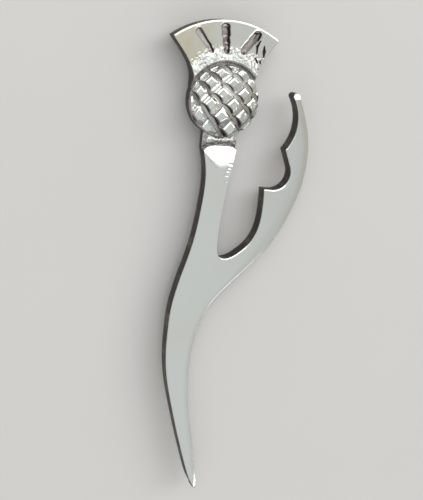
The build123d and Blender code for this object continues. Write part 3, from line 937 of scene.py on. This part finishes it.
def relief(points, rim, pin):
    """Level of the face without its edges, with its dark film and painted shade, grit and warm
    tint.
    """
    p, q = turned(points - pin.neck, pin, back=True).T
    waist = pin.bulb + pin.waist_rise
    in_head = (np.abs(p) < pin.bulb_radius + HEAD_CLEAR) | (q > waist - HEAD_CLEAR)
    away = np.hypot(p, q - pin.bulb) - pin.bulb_radius
    grit = stipple(p, q, pin)

    level, below = stem_face(p, q, rim, pin)
    neck, film, rough = neck_face(p, q, below, grit, pin)
    in_neck = between(-below, -JOIN, JOIN) * (q < pin.bulb) * in_head
    level = level + (neck - level) * in_neck
    flower = flower_face(p, q, away, grit, pin)
    in_flower = (q > pin.bulb) & in_head
    others = (level, film * in_neck, rough * in_neck, 0)
    level, film, rough, warm_tint = (np.where(in_flower, *pair) for pair in zip(flower, others))

    studs, dark = stud_field(p, q - pin.bulb, pin)
    in_bulb = 1 - between(away, -JOIN, JOIN)
    level = level + (studs - level) * in_bulb
    film = film + (dark - film) * in_bulb
    rough = rough * (1 - in_bulb)
    stains = in_bulb * between(grain(p, q, 2.0, "stains"), 0.3, 0.7) * np.clip(2 * dark, 0, 0.7)
    # The crease round the bulb is darkened: film and painted shade
    crease = ridge(away, CREASE_WIDTH)
    film = np.clip(np.maximum(film, CREASE_FILM_AND_SHADE * crease), 0, 1)
    return level - CREASE_DEPTH * crease, film, np.clip(rough, 0, 1), np.maximum(warm_tint, stains)


# Meshes


def put_mesh(name, points, faces, fields=None):
    """Mesh object at the origin from points in millimetres, with point fields, shaded smooth."""
    mesh = bpy.data.meshes.new(name)
    mesh.from_pydata(points * MM, [], faces)
    for field, values in (fields or {}).items():
        layer = mesh.attributes.new(field, "FLOAT", "POINT")
        layer.data.foreach_set("value", values.astype(np.float32))
    mesh.shade_smooth()
    mesh.set_sharp_from_angle(angle=radians(SHARP_DEGREES))
    mesh.validate()
    made = bpy.data.objects.new(name, mesh)
    bpy.context.scene.collection.objects.link(made)
    return made


def casting_mesh(pin):
    """Closed surface of the casting, with its point fields.

    A net of points inside the outline at the relief's level, and rows down to the flat back.
    """
    ring = whole_outline(pin)
    count = len(ring)
    low, high = ring.min(0), ring.max(0)

    parts = [ring]
    for offset in RIM_OFFSETS:
        row = inward(ring, offset)
        parts.append(row[np.abs(rim_facts(row, ring)[0] - offset) < RIM_SLACK * offset])
    for pitch, fine in ((HEAD_PITCH, True), (PLATE_PITCH, False)):
        inner = net(low, high, pitch)
        inner = inner[in_fine(inner, pin) == fine]
        parts.append(inner[rim_facts(inner, ring)[0] > RIM_OFFSETS[-1] + NET_CLEAR * pitch])
    face = np.vstack(parts)
    rim, piece = rim_facts(face, ring)
    rim = np.maximum(rim, 0)
    rim[:count] = 0
    level, film, rough, warm_tint = relief(face, rim, pin)
    level = level - face_edge(face, rim, piece, ring, pin)

    rows = len(WALL_ROWS)
    wall_level = level[:count] + (pin.stand_off - level[:count]) * np.array(WALL_ROWS)[:, None]
    walls = np.column_stack([np.tile(ring, (rows, 1)), wall_level.ravel()])
    start = np.concatenate([[0], len(face) + count * np.arange(rows)])[:, None]
    here = start + np.arange(count)
    upper, under = here[:-1].ravel(), here[1:].ravel()
    upper_next, under_next = (np.roll(part, -1, axis=1).ravel() for part in (here[:-1], here[1:]))
    sides = [(upper, under, under_next), (upper, under_next, upper_next)]

    inner = net(low, high, BACK_PITCH)
    inner = inner[rim_facts(inner, ring)[0] > BACK_PITCH / 2]
    back = triangles(np.vstack([ring, inner]), count)[:, ::-1]
    first_inner = len(face) + count * rows
    back = np.where(back < count, back + first_inner - count, back - count + first_inner)
    bottom = np.column_stack([inner, np.full(len(inner), pin.stand_off)])

    points = np.vstack([np.column_stack([face, level]), walls, bottom])
    faces = np.vstack([triangles(face, count), *(np.column_stack(side) for side in sides), back])
    clean = np.zeros(len(points) - len(face))
    # Painted shade on the side walls and on the back
    dark = np.concatenate([np.repeat(WALL_PAINTED_SHADE, count), np.full(len(inner), BACK_PAINTED_SHADE)])
    fields = {
        "recess": np.concatenate([film, clean]),
        "grit": np.concatenate([rough, clean + 1]),
        "warm_tint": np.concatenate([warm_tint, clean]),
        "wall": np.concatenate([np.zeros(len(face)), dark]),
    }
    return points, faces, fields


# Materials


class Nodes:
    """Short way to add and join the nodes of a material."""

    def __init__(self, material):
        material.use_nodes = True
        self.tree = material.node_tree
        self.tree.nodes.clear()

    def add(self, kind, inputs=None, **settings):
        """New node, with its settings and with numbers or links on its sockets."""
        node = self.tree.nodes.new(kind)
        for name, value in settings.items():
            setattr(node, name, value)
        for name, value in (inputs or {}).items():
            if isinstance(value, bpy.types.NodeSocket):
                self.tree.links.new(value, node.inputs[name])
            else:
                node.inputs[name].default_value = value
        return node

    def field(self, name):
        """Value of a point field of the mesh."""
        return self.add("ShaderNodeAttribute", attribute_name=name).outputs["Fac"]

    def noise(self, scale, detail=2.0, stretch=(1, 1, 1)):
        """Noise in object coordinates, its scale per metre, drawn out by a stretch."""
        place = self.add("ShaderNodeTexCoord").outputs["Object"]
        place = self.add("ShaderNodeMapping", {"Vector": place, "Scale": stretch}).outputs[0]
        inputs = {"Vector": place, "Scale": scale, "Detail": detail}
        return self.add("ShaderNodeTexNoise", inputs).outputs[0]

    def ranged(self, value, low, high, to_low=0.0, to_high=1.0):
        """Value carried from one range to another and kept inside it."""
        inputs = {"Value": value, "From Min": low, "From Max": high}
        inputs |= {"To Min": to_low, "To Max": to_high}
        return self.add("ShaderNodeMapRange", inputs).outputs[0]

    def mixed(self, share, first, second):
        """Colour between two colours by a share."""
        inputs = {0: share, 6: first, 7: second}
        return self.add("ShaderNodeMix", inputs, data_type="RGBA").outputs[2]

    def sum(self, first, second, operation="ADD"):
        """Two values added, or joined by another operation."""
        return self.add("ShaderNodeMath", {0: first, 1: second}, operation=operation).outputs[0]

    def bump(self, strength, distance, height):
        """Normal of a fine relief, its height in metres."""
        inputs = {"Strength": strength, "Distance": distance, "Height": height}
        return self.add("ShaderNodeBump", inputs).outputs[0]

    def finish(self, **inputs):
        """Principled surface with these inputs, and the output."""
        named = {name.replace("_", " "): value for name, value in inputs.items()}
        shader = self.add("ShaderNodeBsdfPrincipled", named)
        self.add("ShaderNodeOutputMaterial", {"Surface": shader.outputs[0]})


def rgba(value, share=1):
    """Colour with full opacity, or a share of its brightness."""
    return (*(share * part for part in value), 1.0)


def casting_metal(finish):
    """Bright plated metal: polished faces with scratches, dark film and painted shade in recesses,
    and walls painted dark in place of the dark surroundings that they reflect.
    """
    material = bpy.data.materials.new("bright_cast_metal")
    nodes = Nodes(material)
    recess, grit, wall = nodes.field("recess"), nodes.field("grit"), nodes.field("wall")
    clouds = nodes.ranged(nodes.noise(110, 3), 0.4, 0.75, 0.0, 0.16)
    patches = nodes.ranged(nodes.noise(420, 3), 0.3, 0.65, 0.35, 1.0)
    warmth = nodes.sum(clouds, nodes.sum(nodes.field("warm_tint"), patches, "MULTIPLY"), "MAXIMUM")
    bright = nodes.mixed(warmth, rgba(finish.bright), rgba(finish.warm))
    # Darker with the recess field: film and painted shade
    base = nodes.mixed(nodes.ranged(recess, 0.0, 0.5), bright, rgba(finish.film))
    base = nodes.mixed(nodes.ranged(recess, 0.5, 1.0), base, rgba(finish.recess))
    # Side walls: painted shade, dark with lighter streaks, in place of the dark surroundings that
    # they reflect
    worn = nodes.ranged(nodes.noise(260, 4), 0.42, 0.68)
    streaks = nodes.ranged(nodes.noise(900, 3, (1, 1, 0.15)), 0.35, 0.65)
    lighter_wall_share = nodes.sum(worn, streaks, "MULTIPLY")
    base = nodes.mixed(wall, base, nodes.mixed(lighter_wall_share, rgba(finish.wall), rgba(finish.bare)))
    dark = nodes.sum(recess, wall, "MAXIMUM")
    cast = nodes.sum(dark, nodes.sum(grit, 0.9, "MULTIPLY"), "MAXIMUM")
    even = nodes.ranged(nodes.noise(400, 4), 0.3, 0.7, finish.polish - 0.02, finish.polish + 0.03)
    span = nodes.sum(finish.cast, even, "SUBTRACT")
    roughness = nodes.sum(even, nodes.sum(cast, span, "MULTIPLY"))
    scratches = nodes.noise(1200, 2, (0.06, 1, 1))
    pits = nodes.noise(3500, 2)
    height = nodes.sum(nodes.sum(scratches, 0.12, "MULTIPLY"), nodes.sum(pits, cast, "MULTIPLY"))
    normal = nodes.bump(0.25, 0.00004, height)
    nodes.finish(Base_Color=base, Metallic=1.0, Roughness=roughness, Normal=normal)
    return material


def pin_steel(finish):
    """Drawn steel: fine lines along the pin and small cloudy changes of gloss."""
    material = bpy.data.materials.new("drawn_pin_steel")
    nodes = Nodes(material)
    lines = nodes.noise(2500, 3, (1, 0.05, 1))
    clouds = nodes.ranged(nodes.noise(300, 3), 0.3, 0.7)
    base = nodes.mixed(clouds, rgba(finish.steel), rgba(finish.steel, 0.8))
    roughness = nodes.ranged(lines, 0.3, 0.7, 0.26, 0.4)
    normal = nodes.bump(0.3, 0.00003, lines)
    nodes.finish(Base_Color=base, Metallic=1.0, Roughness=roughness, Normal=normal)
    return material


def floor_card(studio):
    """Matt pale card with a faint tooth."""
    material = bpy.data.materials.new("pale_card")
    nodes = Nodes(material)
    clouds = nodes.ranged(nodes.noise(25, 3), 0.3, 0.7)
    base = nodes.mixed(clouds, rgba(studio.floor), rgba(studio.floor, 0.985))
    normal = nodes.bump(0.08, 0.0002, nodes.noise(900, 3))
    nodes.finish(Base_Color=base, Roughness=0.85, Normal=normal)
    return material


# Operators


class KILTPIN_OT_casting(bpy.types.Operator):
    """Model the casting in full relief in place of its plain solid"""

    bl_idname = "kiltpin.casting"
    bl_label = "Build Casting"

    def execute(self, context):
        casting = put_mesh("cast_thistle", *casting_mesh(pin_sizes(context.scene)))
        casting.data.materials.append(casting_metal(context.scene.kiltpin_finish))
        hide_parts("thistle_casting")
        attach(casting, "root")
        return {"FINISHED"}


class KILTPIN_OT_fitting(bpy.types.Operator):
    """Give the pin fitting its drawn steel"""

    bl_idname = "kiltpin.fitting"
    bl_label = "Finish Pin Fitting"

    def execute(self, context):
        steel = pin_steel(context.scene.kiltpin_finish)
        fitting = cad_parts["pin_fitting"]
        if not fitting.material_slots:
            raise RuntimeError("the pin fitting has no material slot")
        for slot in fitting.material_slots:
            slot.material = steel
        return {"FINISHED"}


def add_panel(name, brightness, place, size, tilt=0, turn=0, tint=(1, 1, 1)):
    """Soft rectangular light whose face has the given brightness, tilted and turned from level."""
    light = bpy.data.lights.new(name, "AREA")
    light.shape = "RECTANGLE"
    light.size, light.size_y = size
    light.energy = brightness * pi * size[0] * size[1]
    light.color = tint
    made = bpy.data.objects.new(name, light)
    bpy.context.scene.collection.objects.link(made)
    made.location = place
    made.rotation_euler = (radians(tilt), 0, radians(turn))


class KILTPIN_OT_stage(bpy.types.Operator):
    """Lay the floor and set the lights and the camera"""

    bl_idname = "kiltpin.stage"
    bl_label = "Set Studio"

    def execute(self, context):
        scene = context.scene
        studio = scene.kiltpin_studio
        floor_half = 1.5
        corners = np.array([[-1, -1, 0], [1, -1, 0], [1, 1, 0], [-1, 1, 0]]) * floor_half
        floor = put_mesh("floor", corners / MM, np.array([[0, 1, 2, 3]]))
        floor.data.materials.append(floor_card(studio))

        add_panel("ceiling", studio.overhead, (-0.45, -0.3, 1.6), (2.1, 3.2))
        add_panel("ceiling_end", 0.75 * studio.overhead, (0.8, -0.3, 1.6), (0.4, 3.2))
        warm = (1.0, 0.86, 0.68)
        add_panel("warm_wall", studio.warm_wall, (1.45, -0.1, 1.0), (2.5, 1.5), 55, 90, warm)
        add_panel("key", studio.key, (0.65, 0.575, 1.2), (2.5, 0.73), -25)
        add_panel("side", studio.side, (1.09, -1.05, 1.5), (0.25, 0.25))

        world = bpy.data.worlds.new("room")
        world.use_nodes = True
        background = world.node_tree.nodes["Background"]
        background.inputs["Color"].default_value = (1, 0.97, 0.93, 1)
        background.inputs["Strength"].default_value = studio.room
        scene.world = world
        scene.view_settings.view_transform = "Standard"

        out = Vector((-tan(studio.turn), tan(studio.tilt), 1)).normalized()
        right = Vector((0, 1, 0)).cross(out).normalized()
        turn = Matrix((right, out.cross(right), out)).transposed()
        camera = bpy.data.objects.new("camera", bpy.data.cameras.new("camera"))
        camera.data.lens = studio.focal
        camera.data.sensor_width = 36
        camera.data.clip_start = 0.01
        camera.location = Vector(studio.target) + out * studio.distance
        camera.rotation_euler = turn.to_euler()
        scene.collection.objects.link(camera)
        scene.camera = camera
        return {"FINISHED"}


class KILTPIN_PT_sidebar(bpy.types.Panel):
    """Sizes, finish and studio of the kilt pin"""

    bl_idname = "KILTPIN_PT_sidebar"
    bl_label = "Kilt Pin"
    bl_space_type = "VIEW_3D"
    bl_region_type = "UI"
    bl_category = "Kilt Pin"

    def draw(self, context):
        layout = self.layout
        for operator, groups in STEPS:
            layout.operator(operator)
            for name in groups:
                group = getattr(context.scene, name)
                box = layout.box()
                for key in group.__annotations__:
                    box.prop(group, key)


STEPS = (
    ("kiltpin.casting", ("kiltpin_outline", "kiltpin_head", "kiltpin_finish")),
    ("kiltpin.fitting", ()),
    ("kiltpin.stage", ("kiltpin_studio",)),
)
GROUPS = {
    "kiltpin_outline": KiltPinOutline,
    "kiltpin_head": KiltPinHead,
    "kiltpin_finish": KiltPinFinish,
    "kiltpin_studio": KiltPinStudio,
}
PARTS = (KILTPIN_OT_casting, KILTPIN_OT_fitting, KILTPIN_OT_stage, KILTPIN_PT_sidebar)
CLASSES = (*GROUPS.values(), *PARTS)


def register():
    for cls in CLASSES:
        bpy.utils.register_class(cls)
    for name, group in GROUPS.items():
        setattr(bpy.types.Scene, name, bpy.props.PointerProperty(type=group))


def unregister():
    for name in GROUPS:
        delattr(bpy.types.Scene, name)
    for cls in reversed(CLASSES):
        bpy.utils.unregister_class(cls)


def main():
    """Build everything in order."""
    register()
    bpy.ops.kiltpin.casting()
    bpy.ops.kiltpin.fitting()
    bpy.ops.kiltpin.stage()


if __name__ == "__main__":
    main()
